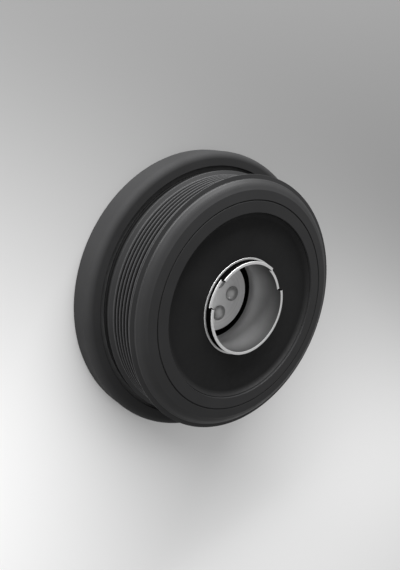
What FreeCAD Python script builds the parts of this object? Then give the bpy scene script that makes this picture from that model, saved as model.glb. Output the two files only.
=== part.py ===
import FreeCAD, Part
import math
import os

# Harmonic balancer with a decoupled belt pulley, in millimetres.
# The shaft's axis is Z. The back of the inertia ring lies on z = 0, and the front points up.
# Radii are measured from the axis, and heights from the back.

# A rounded corner takes at most this share of each of its sides
SIDE_SHARE = 0.48
# A cutting tool starts and ends this far outside the piece
TOOL_OVERRUN = 2.0

# Plate and screws in the middle
SCREW_COUNT = 4
SCREW_CIRCLE_R = 12.0
SCREW_SHANK_R = 3.5
SCREW_THREAD_R = 3.0
SCREW_HEAD_R = 5.5
SCREW_HEAD_HEIGHT = 3.3
SCREW_HEAD_RIM = 0.6
SCREW_REACH = 5.5
SCREW_TIP_CHAMFER = 0.6
SCREW_HOLE_CLEARANCE = 0.3
PLATE_MARGIN = 8.0
PLATE_THICKNESS = 5.0
PLATE_EDGE_ROUND = 1.2

# Middle tube with its two notches: it stands round the plate, and its rim stands proud of the front face
PLATE_ROOM = 4.7
SLEEVE_WALL = 2.0
SLEEVE_PROUD = 1.7
SLEEVE_FOOT_WIDTH = 5.8
SLEEVE_BEND_ROUND = 2.5
NOTCH_COUNT = 2
NOTCH_DEPTH = 3.0
NOTCH_WIDTH_DEG = 35.5
NOTCH_FIRST_DEG = 30.0
NOTCH_STEP_DEG = 120.0

# Hub: the crank recess lies inside the boss, and the bearing collar sets the radii of all that runs on it
HUB_BACK_Z = 1.0
HUB_WEB = 8.0
BOSS_HEIGHT = 18.3
BOSS_FOOT_ROUND = 1.5
PLATE_OVERHANG = 0.5
REGISTER_WALL = 1.0
REGISTER_DEPTH = 6.0
REGISTER_CHAMFER = 0.8
DOWEL_HOLE_R = 2.5
DOWEL_HOLE_DEPTH = 6.0
DOWEL_EDGE = 4.5
DOWEL_DEG = 45.0
COLLAR_R = 74.0
COLLAR_WALL = 4.0
COLLAR_CHAMFER = 0.6
COLLAR_FOOT_ROUND = 3.0
THRUST_SHOULDER_WIDTH = 7.6
THRUST_SHOULDER_HEIGHT = 2.02
HUB_RIM_LAND = 5.3
HUB_EDGE_BREAK = 0.6

# Damper: heavy ring on a rubber band
BAND_THICKNESS = 3.05
BAND_END_GAP = 1.2
BAND_END_ROUND = 0.8
RING_THICKNESS = 9.75
RING_WIDTH = 18.2
RING_PROUD = 0.8
RING_FRONT_ROUND = 5.7
RING_BACK_ROUND = 1.2
RING_EDGE_BREAK = 0.5
BALANCE_HOLE_R = 3.0
BALANCE_HOLE_DEPTH = 7.0
BALANCE_DEGS = (205.0, 221.0)

# Plain bearings and seal
RUNNING_GAP = 0.05
BUSH_WALL = 2.0
WASHER_THICKNESS = 1.9
WASHER_EDGE_GAP = 0.3
SUPPORT_THICKNESS = 3.0
SUPPORT_ROUND = 1.0
SEAL_WIDTH = 2.6
SEAL_EDGE_GAP = 1.2
SEAL_BASE = 1.4
SEAL_LIP_WIDTH = 0.9
SEAL_LIP_GAP = 0.3

# Belt track: the standard ribbed-belt groove
GROOVE_COUNT = 6
GROOVE_PITCH = 3.56
GROOVE_DEPTH = 2.8
GROOVE_HALF_ANGLE = 20.0
CREST_WIDTH = 0.8

# Pulley, from its inner flange on the bearing out to the belt track and up to its front face
INNER_FLANGE_HEIGHT = 3.35
INNER_FLANGE_WIDTH = 8.6
INNER_CORNER_ROUND = 1.5
RIM_WALL = 2.9
FLANGE_HEIGHT = 2.4
REAR_FLANGE_WIDTH = 1.6
REAR_SLOPE_RUN = 1.4
FRONT_SLOPE_RUN = 0.9
FRONT_FLANGE_WIDTH = 0.4
FRONT_FLANGE_ROUND = 0.2
FLANGE_FACE_WIDTH = 2.85
FLANGE_FACE_LEAN = 0.5
SHOULDER_HEIGHT = 4.67
SHOULDER_WALL_HEIGHT = 0.7
SHOULDER_WALL_LEAN = 0.2
SHOULDER_WALL_ROUND = 2.5
SHOULDER_BULGE = 0.5
SHOULDER_ROUND = 9.0
PULLEY_EDGE_BREAK = 0.4
FRONT_LAND = 6.6
FRONT_LAND_LEAN = 0.5
FRONT_WALL = 9.0
FRONT_WALL_REACH = 7.7
JOINT_CHAMFER = 0.5

# Isolator: two steel rings with a rubber body bonded between them
OUTER_RING_REAR_GAP = 1.5
OUTER_RING_WALL = 3.5
OUTER_RING_LIP_WIDTH = 7.9
OUTER_RING_LIP = 3.2
INNER_RING_WALL = 1.4
INNER_RING_LENGTH = 19.0
INNER_RING_PROUD = 0.25
INNER_RING_CHAMFER = 0.35
DISH_DEPTH = 3.9
DISH_FOOT_WIDTH = 2.0
DISH_ROUND = 6.5
RUBBER_BELOW_EDGE = 0.4
RUBBER_REAR_RISE = 4.5
RUBBER_INNER_WEB = 10.4
RUBBER_OUTER_WEB = 10.2

# Radii that follow, from the middle out to the inner ring of the isolator
PLATE_R = SCREW_CIRCLE_R + SCREW_HEAD_R + PLATE_MARGIN
BOSS_R = PLATE_R - PLATE_OVERHANG
REGISTER_R = BOSS_R - REGISTER_WALL
DOWEL_CIRCLE_R = REGISTER_R - DOWEL_EDGE
SLEEVE_BORE_R = PLATE_R + PLATE_ROOM
SLEEVE_OUTER_R = SLEEVE_BORE_R + SLEEVE_WALL
SLEEVE_FOOT_R = SLEEVE_OUTER_R + SLEEVE_FOOT_WIDTH
INNER_RING_R = SLEEVE_OUTER_R + INNER_RING_WALL

# Radii that follow, from the bearing collar out to the inertia ring
THRUST_SHOULDER_R = COLLAR_R + THRUST_SHOULDER_WIDTH
HUB_RIM_R = THRUST_SHOULDER_R + HUB_RIM_LAND
RING_INNER_R = HUB_RIM_R + BAND_THICKNESS
RING_OUTER_R = RING_INNER_R + RING_THICKNESS

# Radii that follow, from the bearing collar out to the pulley's flanges
JOURNAL_R = COLLAR_R + BUSH_WALL + RUNNING_GAP
RIM_BORE_R = JOURNAL_R + INNER_FLANGE_HEIGHT
VALLEY_R = RIM_BORE_R + RIM_WALL
CREST_R = VALLEY_R + GROOVE_DEPTH
FLANGE_R = CREST_R + FLANGE_HEIGHT

# Radii that follow, from the pulley's rim in to the rubber
ISOLATOR_OUTER_R = RIM_BORE_R - FRONT_WALL_REACH
SHOULDER_TOP_R = ISOLATOR_OUTER_R + FRONT_LAND
BOND_R = ISOLATOR_OUTER_R - OUTER_RING_WALL
OUTER_RING_LIP_R = ISOLATOR_OUTER_R - OUTER_RING_LIP_WIDTH

# Heights that follow, from the back to the front
HUB_WEB_TOP_Z = HUB_BACK_Z + HUB_WEB
REGISTER_TOP_Z = HUB_BACK_Z + REGISTER_DEPTH
BOSS_TOP_Z = HUB_BACK_Z + BOSS_HEIGHT
PLATE_TOP_Z = BOSS_TOP_Z + PLATE_THICKNESS
SCREW_TIP_Z = REGISTER_TOP_Z - SCREW_REACH
HUB_RIM_TOP_Z = RING_WIDTH - RING_PROUD
THRUST_SHOULDER_Z = HUB_RIM_TOP_Z + THRUST_SHOULDER_HEIGHT
PULLEY_REAR_Z = THRUST_SHOULDER_Z + WASHER_THICKNESS + RUNNING_GAP
INNER_FLANGE_FRONT_Z = PULLEY_REAR_Z + INNER_FLANGE_WIDTH
FRONT_WASHER_Z = INNER_FLANGE_FRONT_Z + RUNNING_GAP
SUPPORT_REAR_Z = FRONT_WASHER_Z + WASHER_THICKNESS
SUPPORT_FRONT_Z = SUPPORT_REAR_Z + SUPPORT_THICKNESS
COLLAR_TOP_Z = SUPPORT_FRONT_Z + COLLAR_CHAMFER
OUTER_RING_REAR_Z = COLLAR_TOP_Z + OUTER_RING_REAR_GAP
TRACK_REAR_Z = PULLEY_REAR_Z + REAR_FLANGE_WIDTH + REAR_SLOPE_RUN
TRACK_FRONT_Z = TRACK_REAR_Z + GROOVE_COUNT * GROOVE_PITCH + CREST_WIDTH
TRACK_MID_Z = (TRACK_REAR_Z + TRACK_FRONT_Z) / 2
FRONT_FLANGE_REAR_Z = TRACK_FRONT_Z + FRONT_SLOPE_RUN
FRONT_FLANGE_EDGE_Z = FRONT_FLANGE_REAR_Z + FRONT_FLANGE_WIDTH
SHOULDER_FOOT_Z = FRONT_FLANGE_EDGE_Z + FLANGE_FACE_LEAN
SHOULDER_TOP_Z = SHOULDER_FOOT_Z + SHOULDER_HEIGHT
FRONT_FACE_Z = SHOULDER_TOP_Z + FRONT_LAND_LEAN
SLEEVE_TOP_Z = FRONT_FACE_Z + SLEEVE_PROUD
LIP_REAR_Z = FRONT_FACE_Z - OUTER_RING_LIP
DISH_FLOOR_Z = FRONT_FACE_Z - DISH_DEPTH
INNER_RING_TOP_Z = DISH_FLOOR_Z + INNER_RING_PROUD
INNER_RING_REAR_Z = INNER_RING_TOP_Z - INNER_RING_LENGTH


def point(r, z):
    """A point of a section, on the half plane through the axis."""
    return FreeCAD.Vector(r, 0, z)


def corner_arc(before, corner, after, radius):
    """Start, middle and end of the arc that rounds a corner, no larger than its two sides allow."""
    back = before - corner
    ahead = after - corner
    half = back.getAngle(ahead) / 2
    reach = min(radius / math.tan(half), SIDE_SHARE * back.Length, SIDE_SHARE * ahead.Length)
    back.normalize()
    ahead.normalize()
    radius = reach * math.tan(half)
    middle_line = (back + ahead).normalize()
    middle = corner + middle_line * (radius / math.sin(half) - radius)
    return corner + back * reach, middle, corner + ahead * reach


def section(corners):
    """A closed face from corners (r, z) or (r, z, rounding radius), in order."""
    places = [point(corner[0], corner[1]) for corner in corners]
    count = len(corners)
    turns = []
    for i, corner in enumerate(corners):
        if len(corner) == 3:
            turns.append(corner_arc(places[i - 1], places[i], places[(i + 1) % count], corner[2]))
        else:
            turns.append((places[i], None, places[i]))
    edges = []
    for i, (start, middle, end) in enumerate(turns):
        if middle is not None:
            edges.append(Part.Arc(start, middle, end).toShape())
        following = turns[(i + 1) % count][0]
        edges.append(Part.makeLine(end, following))
    return Part.Face(Part.Wire(edges))


def turned(corners, start_deg=0.0, sweep_deg=360.0):
    """A section turned round the axis."""
    solid = section(corners).revolve(FreeCAD.Vector(0, 0, 0), FreeCAD.Vector(0, 0, 1), sweep_deg)
    solid.rotate(FreeCAD.Vector(0, 0, 0), FreeCAD.Vector(0, 0, 1), start_deg)
    return solid


def rod(radius, low_z, high_z, circle_r=0.0, angle_deg=0.0):
    """A straight round rod along Z, at an angle on a circle about the axis."""
    turn = math.radians(angle_deg)
    foot = FreeCAD.Vector(circle_r * math.cos(turn), circle_r * math.sin(turn), low_z)
    return Part.makeCylinder(radius, high_z - low_z, foot)


def on_circle(shape, circle_r, angle_deg):
    """A copy of a shape moved from the axis to a place on a circle."""
    turn = math.radians(angle_deg)
    copy = shape.copy()
    copy.translate(FreeCAD.Vector(circle_r * math.cos(turn), circle_r * math.sin(turn), 0))
    return copy


def screw_angles():
    """The screws' angles about the axis, in degrees."""
    return [i * 360.0 / SCREW_COUNT for i in range(SCREW_COUNT)]


def belt_track():
    """Corners of the grooved track, from its rear land to its front land."""
    side_run = GROOVE_DEPTH * math.tan(math.radians(GROOVE_HALF_ANGLE))
    valley_half = (GROOVE_PITCH - CREST_WIDTH) / 2 - side_run
    corners = [(CREST_R, TRACK_REAR_Z)]
    for i in range(GROOVE_COUNT):
        mid_z = TRACK_MID_Z + (i - (GROOVE_COUNT - 1) / 2) * GROOVE_PITCH
        corners.append((CREST_R, mid_z - valley_half - side_run))
        corners.append((VALLEY_R, mid_z - valley_half))
        corners.append((VALLEY_R, mid_z + valley_half))
        corners.append((CREST_R, mid_z + valley_half + side_run))
    corners.append((CREST_R, TRACK_FRONT_Z))
    return corners


def front_shoulder():
    """Corners from the front flange's tip, in over its face, up the rounded shoulder to the front land."""
    foot_r = FLANGE_R - FLANGE_FACE_WIDTH
    wall_r = foot_r - SHOULDER_WALL_LEAN
    wall_z = SHOULDER_FOOT_Z + SHOULDER_WALL_HEIGHT
    # The crown stands out by the bulge, at the middle of the straight line from the wall to the top
    run = SHOULDER_TOP_R - wall_r
    rise = SHOULDER_TOP_Z - wall_z
    length = math.hypot(run, rise)
    crown_r = (wall_r + SHOULDER_TOP_R) / 2 + SHOULDER_BULGE * rise / length
    crown_z = (wall_z + SHOULDER_TOP_Z) / 2 - SHOULDER_BULGE * run / length
    return [
        (FLANGE_R, FRONT_FLANGE_REAR_Z),
        (FLANGE_R, FRONT_FLANGE_EDGE_Z, FRONT_FLANGE_ROUND),
        (foot_r, SHOULDER_FOOT_Z),
        (wall_r, wall_z, SHOULDER_WALL_ROUND),
        (crown_r, crown_z, SHOULDER_ROUND),
        (SHOULDER_TOP_R, SHOULDER_TOP_Z, PULLEY_EDGE_BREAK),
    ]


def make_pulley():
    """Belt pulley: grooved rim, thick front wall and an inner flange that runs in the bearings."""
    wall_z = FRONT_FACE_Z - FRONT_WALL
    corners = [
        (JOURNAL_R, PULLEY_REAR_Z),
        (FLANGE_R, PULLEY_REAR_Z, PULLEY_EDGE_BREAK),
        (FLANGE_R, TRACK_REAR_Z - REAR_SLOPE_RUN, PULLEY_EDGE_BREAK),
    ]
    corners += belt_track()
    corners += front_shoulder()
    corners += [
        (ISOLATOR_OUTER_R + JOINT_CHAMFER, FRONT_FACE_Z),
        (ISOLATOR_OUTER_R, FRONT_FACE_Z - JOINT_CHAMFER),
        (ISOLATOR_OUTER_R, wall_z),
        (RIM_BORE_R, wall_z, INNER_CORNER_ROUND),
        (RIM_BORE_R, INNER_FLANGE_FRONT_Z, INNER_CORNER_ROUND),
        (JOURNAL_R, INNER_FLANGE_FRONT_Z),
    ]
    return turned(corners)


def make_isolator_outer_ring():
    """Steel ring pressed into the pulley's front wall, with a lip that shows at the front."""
    return turned([
        (BOND_R, OUTER_RING_REAR_Z),
        (ISOLATOR_OUTER_R, OUTER_RING_REAR_Z),
        (ISOLATOR_OUTER_R, FRONT_FACE_Z - JOINT_CHAMFER),
        (ISOLATOR_OUTER_R - JOINT_CHAMFER, FRONT_FACE_Z),
        (OUTER_RING_LIP_R, FRONT_FACE_Z),
        (OUTER_RING_LIP_R, LIP_REAR_Z),
        (BOND_R, LIP_REAR_Z),
    ])


def make_isolator_inner_ring():
    """Thin steel ring pressed on the middle tube."""
    return turned([
        (SLEEVE_OUTER_R, INNER_RING_REAR_Z),
        (INNER_RING_R, INNER_RING_REAR_Z),
        (INNER_RING_R, INNER_RING_TOP_Z),
        (SLEEVE_OUTER_R + INNER_RING_CHAMFER, INNER_RING_TOP_Z),
        (SLEEVE_OUTER_R, INNER_RING_TOP_Z - INNER_RING_CHAMFER),
    ])


def make_isolator_rubber():
    """Rubber body between the two rings: a dished front face and a hollowed back."""
    inner_rear_z = INNER_RING_REAR_Z + RUBBER_BELOW_EDGE
    hollow_z = inner_rear_z + RUBBER_REAR_RISE
    return turned([
        (INNER_RING_R, inner_rear_z),
        (INNER_RING_R + RUBBER_INNER_WEB, hollow_z, DISH_ROUND),
        (BOND_R - RUBBER_OUTER_WEB, hollow_z, DISH_ROUND),
        (BOND_R, OUTER_RING_REAR_Z + RUBBER_BELOW_EDGE),
        (BOND_R, LIP_REAR_Z),
        (OUTER_RING_LIP_R, LIP_REAR_Z),
        (OUTER_RING_LIP_R, FRONT_FACE_Z - RUBBER_BELOW_EDGE),
        (OUTER_RING_LIP_R - DISH_FOOT_WIDTH, DISH_FLOOR_Z, DISH_ROUND),
        (INNER_RING_R, DISH_FLOOR_Z),
    ])


def make_hub_sleeve():
    """Drawn steel tube with a turned-out foot, and notches in its front rim."""
    tube = turned([
        (SLEEVE_BORE_R, HUB_WEB_TOP_Z, SLEEVE_BEND_ROUND + SLEEVE_WALL),
        (SLEEVE_FOOT_R, HUB_WEB_TOP_Z),
        (SLEEVE_FOOT_R, HUB_WEB_TOP_Z + SLEEVE_WALL),
        (SLEEVE_OUTER_R, HUB_WEB_TOP_Z + SLEEVE_WALL, SLEEVE_BEND_ROUND),
        (SLEEVE_OUTER_R, SLEEVE_TOP_Z),
        (SLEEVE_BORE_R, SLEEVE_TOP_Z),
    ])
    for i in range(NOTCH_COUNT):
        middle_deg = NOTCH_FIRST_DEG + i * NOTCH_STEP_DEG
        cutter = turned([
            (SLEEVE_BORE_R - TOOL_OVERRUN, SLEEVE_TOP_Z - NOTCH_DEPTH),
            (SLEEVE_OUTER_R + TOOL_OVERRUN, SLEEVE_TOP_Z - NOTCH_DEPTH),
            (SLEEVE_OUTER_R + TOOL_OVERRUN, SLEEVE_TOP_Z + TOOL_OVERRUN),
            (SLEEVE_BORE_R - TOOL_OVERRUN, SLEEVE_TOP_Z + TOOL_OVERRUN),
        ], middle_deg - NOTCH_WIDTH_DEG / 2, NOTCH_WIDTH_DEG)
        tube = tube.cut(cutter)
    return tube


def make_hub():
    """Forged hub: crank recess and boss, web, bearing collar, and the rim under the rubber band."""
    collar_inner_r = COLLAR_R - COLLAR_WALL
    hub = turned([
        (0, REGISTER_TOP_Z),
        (REGISTER_R, REGISTER_TOP_Z),
        (REGISTER_R, HUB_BACK_Z + REGISTER_CHAMFER),
        (REGISTER_R + REGISTER_CHAMFER, HUB_BACK_Z),
        (HUB_RIM_R, HUB_BACK_Z, HUB_EDGE_BREAK),
        (HUB_RIM_R, HUB_RIM_TOP_Z, HUB_EDGE_BREAK),
        (THRUST_SHOULDER_R, HUB_RIM_TOP_Z),
        (THRUST_SHOULDER_R, THRUST_SHOULDER_Z),
        (COLLAR_R, THRUST_SHOULDER_Z),
        (COLLAR_R, COLLAR_TOP_Z - COLLAR_CHAMFER),
        (COLLAR_R - COLLAR_CHAMFER, COLLAR_TOP_Z),
        (collar_inner_r, COLLAR_TOP_Z),
        (collar_inner_r, HUB_WEB_TOP_Z, COLLAR_FOOT_ROUND),
        (BOSS_R, HUB_WEB_TOP_Z, BOSS_FOOT_ROUND),
        (BOSS_R, BOSS_TOP_Z),
        (0, BOSS_TOP_Z),
    ])
    for angle in screw_angles():
        hub = hub.cut(rod(SCREW_SHANK_R, HUB_BACK_Z, BOSS_TOP_Z + TOOL_OVERRUN, SCREW_CIRCLE_R, angle))
    dowel_top_z = REGISTER_TOP_Z + DOWEL_HOLE_DEPTH
    return hub.cut(rod(DOWEL_HOLE_R, HUB_BACK_Z, dowel_top_z, DOWEL_CIRCLE_R, DOWEL_DEG))


def make_clamp_plate():
    """Round steel plate under the screw heads."""
    plate = turned([
        (0, BOSS_TOP_Z),
        (PLATE_R, BOSS_TOP_Z),
        (PLATE_R, PLATE_TOP_Z, PLATE_EDGE_ROUND),
        (0, PLATE_TOP_Z),
    ])
    hole_r = SCREW_SHANK_R + SCREW_HOLE_CLEARANCE
    for angle in screw_angles():
        plate = plate.cut(rod(hole_r, HUB_BACK_Z, PLATE_TOP_Z + TOOL_OVERRUN, SCREW_CIRCLE_R, angle))
    return plate


def make_screw():
    """Screw with a smooth domed head and a fitted shank, standing on the axis."""
    rim_z = PLATE_TOP_Z + SCREW_HEAD_RIM
    top_z = PLATE_TOP_Z + SCREW_HEAD_HEIGHT
    # The dome is an arc of a circle through the rim and the crown
    dome = top_z - rim_z
    dome_r = (SCREW_HEAD_R ** 2 + dome ** 2) / (2 * dome)
    half_angle = math.asin(min(1.0, SCREW_HEAD_R / dome_r)) / 2
    shoulder = point(dome_r * math.sin(half_angle), top_z - dome_r * (1 - math.cos(half_angle)))
    outline = [
        point(0, SCREW_TIP_Z),
        point(SCREW_THREAD_R - SCREW_TIP_CHAMFER, SCREW_TIP_Z),
        point(SCREW_THREAD_R, SCREW_TIP_Z + SCREW_TIP_CHAMFER),
        point(SCREW_THREAD_R, REGISTER_TOP_Z),
        point(SCREW_SHANK_R, REGISTER_TOP_Z),
        point(SCREW_SHANK_R, PLATE_TOP_Z),
        point(SCREW_HEAD_R, PLATE_TOP_Z),
        point(SCREW_HEAD_R, rim_z),
    ]
    edges = [Part.makeLine(a, b) for a, b in zip(outline, outline[1:])]
    edges.append(Part.Arc(point(SCREW_HEAD_R, rim_z), shoulder, point(0, top_z)).toShape())
    edges.append(Part.makeLine(point(0, top_z), outline[0]))
    face = Part.Face(Part.Wire(edges))
    return face.revolve(FreeCAD.Vector(0, 0, 0), FreeCAD.Vector(0, 0, 1), 360)


def make_inertia_ring():
    """Heavy iron ring, rounded at its front outer edge, with two balance drillings in its back."""
    ring = turned([
        (RING_INNER_R, 0, RING_EDGE_BREAK),
        (RING_OUTER_R, 0, RING_BACK_ROUND),
        (RING_OUTER_R, RING_WIDTH, RING_FRONT_ROUND),
        (RING_INNER_R, RING_WIDTH, RING_EDGE_BREAK),
    ])
    middle_r = (RING_INNER_R + RING_OUTER_R) / 2
    for angle in BALANCE_DEGS:
        ring = ring.cut(rod(BALANCE_HOLE_R, -TOOL_OVERRUN, BALANCE_HOLE_DEPTH, middle_r, angle))
    return ring


def make_damper_rubber():
    """Rubber band between the hub's rim and the inertia ring, hollowed a little at both ends."""
    return turned([
        (HUB_RIM_R, HUB_BACK_Z + BAND_END_GAP, BAND_END_ROUND),
        (RING_INNER_R, HUB_BACK_Z + BAND_END_GAP, BAND_END_ROUND),
        (RING_INNER_R, HUB_RIM_TOP_Z - BAND_END_GAP, BAND_END_ROUND),
        (HUB_RIM_R, HUB_RIM_TOP_Z - BAND_END_GAP, BAND_END_ROUND),
    ])


def flat_ring(inner_r, outer_r, low_z, thickness):
    """A plain flat ring."""
    return turned([
        (inner_r, low_z),
        (outer_r, low_z),
        (outer_r, low_z + thickness),
        (inner_r, low_z + thickness),
    ])


def make_bearing_bush():
    """Plain bearing pressed on the hub's collar, inside the pulley's inner flange."""
    return flat_ring(COLLAR_R, COLLAR_R + BUSH_WALL, PULLEY_REAR_Z, INNER_FLANGE_WIDTH)


def make_rear_thrust_washer():
    """Washer on the hub's shoulder, behind the pulley."""
    outer_r = THRUST_SHOULDER_R - WASHER_EDGE_GAP
    return flat_ring(COLLAR_R, outer_r, THRUST_SHOULDER_Z, WASHER_THICKNESS)


def make_front_thrust_washer():
    """Washer in front of the pulley's inner flange."""
    outer_r = RIM_BORE_R - INNER_CORNER_ROUND - WASHER_EDGE_GAP
    return flat_ring(COLLAR_R, outer_r, FRONT_WASHER_Z, WASHER_THICKNESS)


def make_support_ring():
    """Steel ring pressed on the collar, which keeps the front washer in place."""
    outer_r = RIM_BORE_R - INNER_CORNER_ROUND - WASHER_EDGE_GAP
    return turned([
        (COLLAR_R, SUPPORT_REAR_Z),
        (outer_r, SUPPORT_REAR_Z),
        (outer_r, SUPPORT_FRONT_Z, SUPPORT_ROUND),
        (COLLAR_R, SUPPORT_FRONT_Z),
    ])


def make_dust_seal():
    """Rubber ring on the hub's rim, with a thin lip that reaches up to the back of the pulley."""
    inner_r = THRUST_SHOULDER_R + SEAL_EDGE_GAP
    outer_r = inner_r + SEAL_WIDTH
    lip_z = PULLEY_REAR_Z - SEAL_LIP_GAP
    base_z = HUB_RIM_TOP_Z + SEAL_BASE
    return turned([
        (inner_r, HUB_RIM_TOP_Z),
        (outer_r, HUB_RIM_TOP_Z),
        (outer_r, lip_z),
        (outer_r - SEAL_LIP_WIDTH, lip_z),
        (outer_r - SEAL_LIP_WIDTH, base_z),
        (inner_r, base_z),
    ])


def save(name, shape):
    """Write one piece as parts/NAME.step."""
    if not shape.isValid():
        raise ValueError(name + " is not a valid solid")
    shape.exportStep("parts/" + name + ".step")
    print(name, "solids", len(shape.Solids), "volume", round(shape.Volume))


def main():
    os.makedirs("parts", exist_ok=True)
    save("inertia_ring", make_inertia_ring())
    save("damper_rubber", make_damper_rubber())
    save("hub", make_hub())
    save("hub_sleeve", make_hub_sleeve())
    save("clamp_plate", make_clamp_plate())
    screw = make_screw()
    for i, angle in enumerate(screw_angles()):
        save("crank_bolt_" + str(i + 1), on_circle(screw, SCREW_CIRCLE_R, angle))
    save("bearing_bush", make_bearing_bush())
    save("rear_thrust_washer", make_rear_thrust_washer())
    save("front_thrust_washer", make_front_thrust_washer())
    save("support_ring", make_support_ring())
    save("dust_seal", make_dust_seal())
    save("pulley", make_pulley())
    save("isolator_outer_ring", make_isolator_outer_ring())
    save("isolator_rubber", make_isolator_rubber())
    save("isolator_inner_ring", make_isolator_inner_ring())


main()
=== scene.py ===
import math

import bmesh
import bpy
import numpy as np
from bpy.props import FloatProperty, FloatVectorProperty, PointerProperty
from mathutils import Matrix, Vector


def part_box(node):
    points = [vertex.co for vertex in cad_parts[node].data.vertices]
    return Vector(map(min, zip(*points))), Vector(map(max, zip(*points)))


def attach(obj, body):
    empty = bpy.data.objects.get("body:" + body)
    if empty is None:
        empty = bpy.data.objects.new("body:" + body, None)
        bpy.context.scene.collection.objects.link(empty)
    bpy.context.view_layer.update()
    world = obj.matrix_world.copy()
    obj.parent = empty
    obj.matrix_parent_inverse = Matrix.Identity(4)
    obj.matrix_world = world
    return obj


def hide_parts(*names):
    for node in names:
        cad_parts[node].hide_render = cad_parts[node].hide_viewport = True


bl_info = {
    "name": "Harmonic balancer",
    "version": (1, 0, 0),
    "blender": (4, 5, 0),
    "location": "3D View > Sidebar > Balancer",
    "description": "Dresses the balancer's solids: coated steel, moulded rubber, a notched tube, a studio",
    "category": "Object",
}

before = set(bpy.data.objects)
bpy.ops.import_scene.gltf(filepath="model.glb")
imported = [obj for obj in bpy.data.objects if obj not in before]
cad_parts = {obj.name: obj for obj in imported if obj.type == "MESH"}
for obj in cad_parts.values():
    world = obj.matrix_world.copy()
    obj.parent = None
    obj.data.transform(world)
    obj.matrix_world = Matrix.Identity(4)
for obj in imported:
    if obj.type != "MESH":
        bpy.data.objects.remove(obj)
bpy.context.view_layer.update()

# All lengths are in metres, and those of the part are written as millimetres times MM
MM = 0.001

# Columns round the axis, fewer for the pulley with its many rows, and the widest step round a corner
COLUMNS = 360
PULLEY_COLUMNS = 220
CORNER_STEP = math.radians(9.0)

# A rounded corner takes at most this share of each of its sides
SIDE_SHARE = 0.48

# A flat side gets a point this near to each of its ends, so that it shades flat
SUPPORT = 0.04 * MM
# Shorter sides, in steps of that size, go without
SUPPORTED_SIDE = 6

# A corner that turns less, in radians, stays a plain point
LEAST_TURN = 1e-4
# Places nearer than this are the same, edges shorter than this go, and heights this near are equal
SAME_PLACE = 1e-7
LEAST_EDGE = 1e-8
TINY = 1e-9

# Edges that turn by more than this shade sharp
SHARP_TURN = math.radians(32.0)

# The belt track's standard groove
GROOVE_COUNT = 6
GROOVE_HALF_ANGLE = math.radians(20.0)
# Share of a groove's depth, from its bottom, that has the darkest painted shade, and the roughness down
# there
GROOVE_PAINTED_SHADE_SHARE = 0.6
VALLEY_ROUGHNESS = 0.7

# Two balance drillings in the ring's back
DRILLING_ANGLES = (math.radians(205.0), math.radians(221.0))
DRILLING_COLUMNS = 48

# Points across the hollow ends of the rubber band
BAND_POINTS = 13

# Two notches in the tube's rim
NOTCH_MIDDLES = (math.radians(30.0), math.radians(150.0))

# Screws, their columns round and the rows up a dome
SCREW_COUNT = 4
SCREW_COLUMNS = 64
DOME_ROWS = 24

# A face of the tube is part of its wall where its normal points this much out or in
WALL_FACING = 0.75
# It is a notch's side, which takes painted shade, where its normal points less than this out or in, and
# less than this up
SIDE_FACING_OUT = 0.5
SIDE_FACING_UP = 0.85
# The bore's painted shadow turns it black over this height, and starts to as far behind the plate's front
BORE_PAINTED_SHADOW_DROP = 0.8 * MM

# How far the roughness of coats and steel wanders, and the waves per metre of a coat's faint cloud
ROUGHNESS_SWING = 0.03
COAT_CLOUD = 45.0

# The camera stands at the photograph's viewing angle: place, right, up and back, then its lens and
# sensor in millimetres, and how far the camera's axis lies below the picture's middle, in pixels
IMAGE_SIZE = (400, 570)
CAMERA_PLACE = Vector((-0.23911, 0.12954, 0.30713))
CAMERA_RIGHT = Vector((0.78647, 0.0, 0.61764))
CAMERA_UP = Vector((0.19267, 0.95010, -0.24534))
CAMERA_BACK = Vector((-0.58682, 0.31195, 0.74722))
CAMERA_LENS = 35.09
CAMERA_SENSOR = 36.0
AXIS_DROP = 1.0
# The nearest and the furthest distance that it sees
CAMERA_RANGE = (0.01, 100.0)

# Floor: half its width, its distance under the part, and where painted shade turns it greyer
FLOOR_HALF = 30.0
FLOOR_DROP = 0.02 * MM
FLOOR_PAINTED_SHADE_DIRECTION = (0.35, 0.94, 0.0)
FLOOR_PAINTED_SHADE_START = -0.24
FLOOR_PAINTED_SHADE_END = 0.2
FLOOR_ROUGHNESS = 0.9

# Each lamp stands in this direction from the part, at this distance
KEY_DIRECTION = (-0.1, 0.97, 0.22)
KEY_DISTANCE = 1.2
FILL_DIRECTION = (-1.0, -0.35, 0.17)
FILL_DISTANCE = 1.8


def reach(node):
    """Outer radius, lowest height and highest height of a turned solid."""
    low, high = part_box(node)
    return max(high.x, high.y), low.z, high.z


def length(name, description, millimetres, least=0.0):
    """A length that the user can change, given in millimetres."""
    return FloatProperty(
        name=name, description=description, default=millimetres * MM, min=least * MM, unit="LENGTH")


def power(name, description, watts):
    """A lamp's power that the user can change."""
    return FloatProperty(name=name, description=description, default=watts, min=0.0, unit="POWER")


def share(name, description, default):
    """A share between nothing and all that the user can change."""
    return FloatProperty(
        name=name, description=description, default=default, min=0.0, max=1.0, subtype="FACTOR")


def colour(name, description, *default):
    """A colour that the user can change."""
    return FloatVectorProperty(
        name=name, description=description, size=3, default=default, min=0.0, max=1.0, subtype="COLOR")


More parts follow.
